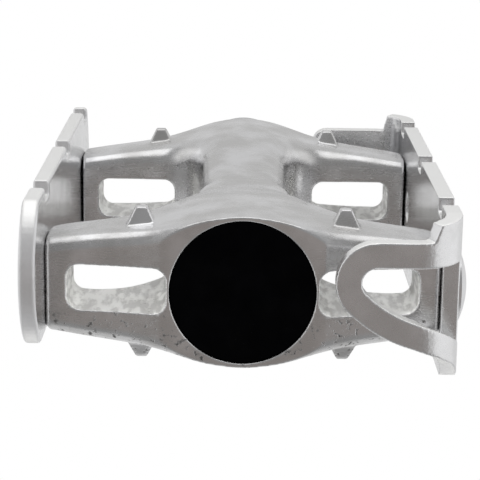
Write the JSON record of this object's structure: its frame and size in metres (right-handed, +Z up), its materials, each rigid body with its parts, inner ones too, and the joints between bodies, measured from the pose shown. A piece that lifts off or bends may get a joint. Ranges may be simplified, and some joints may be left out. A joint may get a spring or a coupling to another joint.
{
  "type": "track pedal",
  "caption": "Quill-style track pedal: a cast body with windowed arms between a flat rear plate and a bent front plate with a loop, on a spindle in ball bearings.",
  "frame": {"origin": "on the spindle's axis, in the plane of the shoulder that seats on the crank", "axes": "+Y along the spindle into the crank, +X forward to the plate with the quill loop, +Z up, out of the side that the shoe stands on"},
  "size_m": [0.0662, 0.1146, 0.0265],
  "materials": {
    "cast_aluminium": "polished casting",
    "sheet_aluminium": "satin polished sheet",
    "fastener_steel": "zinc plated",
    "spring_steel": "blackened",
    "spindle_steel": "ground and plated",
    "bearing_steel": "ground",
    "ball_steel": "polished",
    "ball_cage_brass": "machined",
    "cap_plastic": "fine matt",
    "seal_rubber": "moulded"
  },
  "bodies": {
    "pedal": {"pedal_body": "cast_aluminium", "rear_cage_plate": "sheet_aluminium", "front_cage_plate": "sheet_aluminium", "rear_cage_screws": "fastener_steel", "front_cage_screws": "fastener_steel", "dust_cap": "cap_plastic", "dust_cap_ring": "seal_rubber", "outboard_outer_ring": "bearing_steel", "inboard_outer_ring": "bearing_steel", "outboard_bearing_seals": "seal_rubber", "inboard_bearing_seals": "seal_rubber", "retaining_ring": "spring_steel", "mouth_seal": "seal_rubber"},
    "spindle": {"spindle": "spindle_steel", "outboard_inner_ring": "bearing_steel", "inboard_inner_ring": "bearing_steel", "spacer_sleeve": "fastener_steel", "lock_washer": "fastener_steel", "lock_nut": "fastener_steel"},
    "outboard_train": {"outboard_balls": "ball_steel", "outboard_ball_cage": "ball_cage_brass"},
    "inboard_train": {"inboard_balls": "ball_steel", "inboard_ball_cage": "ball_cage_brass"}
  },
  "joints": [
    {"name": "spindle_spin", "type": "hinge", "parent": "pedal", "child": "spindle", "pos_m": [0, 0, 0], "axis": [0, 1, 0], "continuous": true},
    {"name": "outboard_train_spin", "type": "hinge", "parent": "pedal", "child": "outboard_train", "pos_m": [0, -0.0827, 0], "axis": [0, 1, 0], "continuous": true},
    {"name": "inboard_train_spin", "type": "hinge", "parent": "pedal", "child": "inboard_train", "pos_m": [0, -0.0246, 0], "axis": [0, 1, 0], "continuous": true}
  ],
  "couplings": [
    {"joint": "outboard_train_spin", "follows": "spindle_spin", "ratio": 0.38241},
    {"joint": "inboard_train_spin", "follows": "spindle_spin", "ratio": 0.40078}
  ]
}
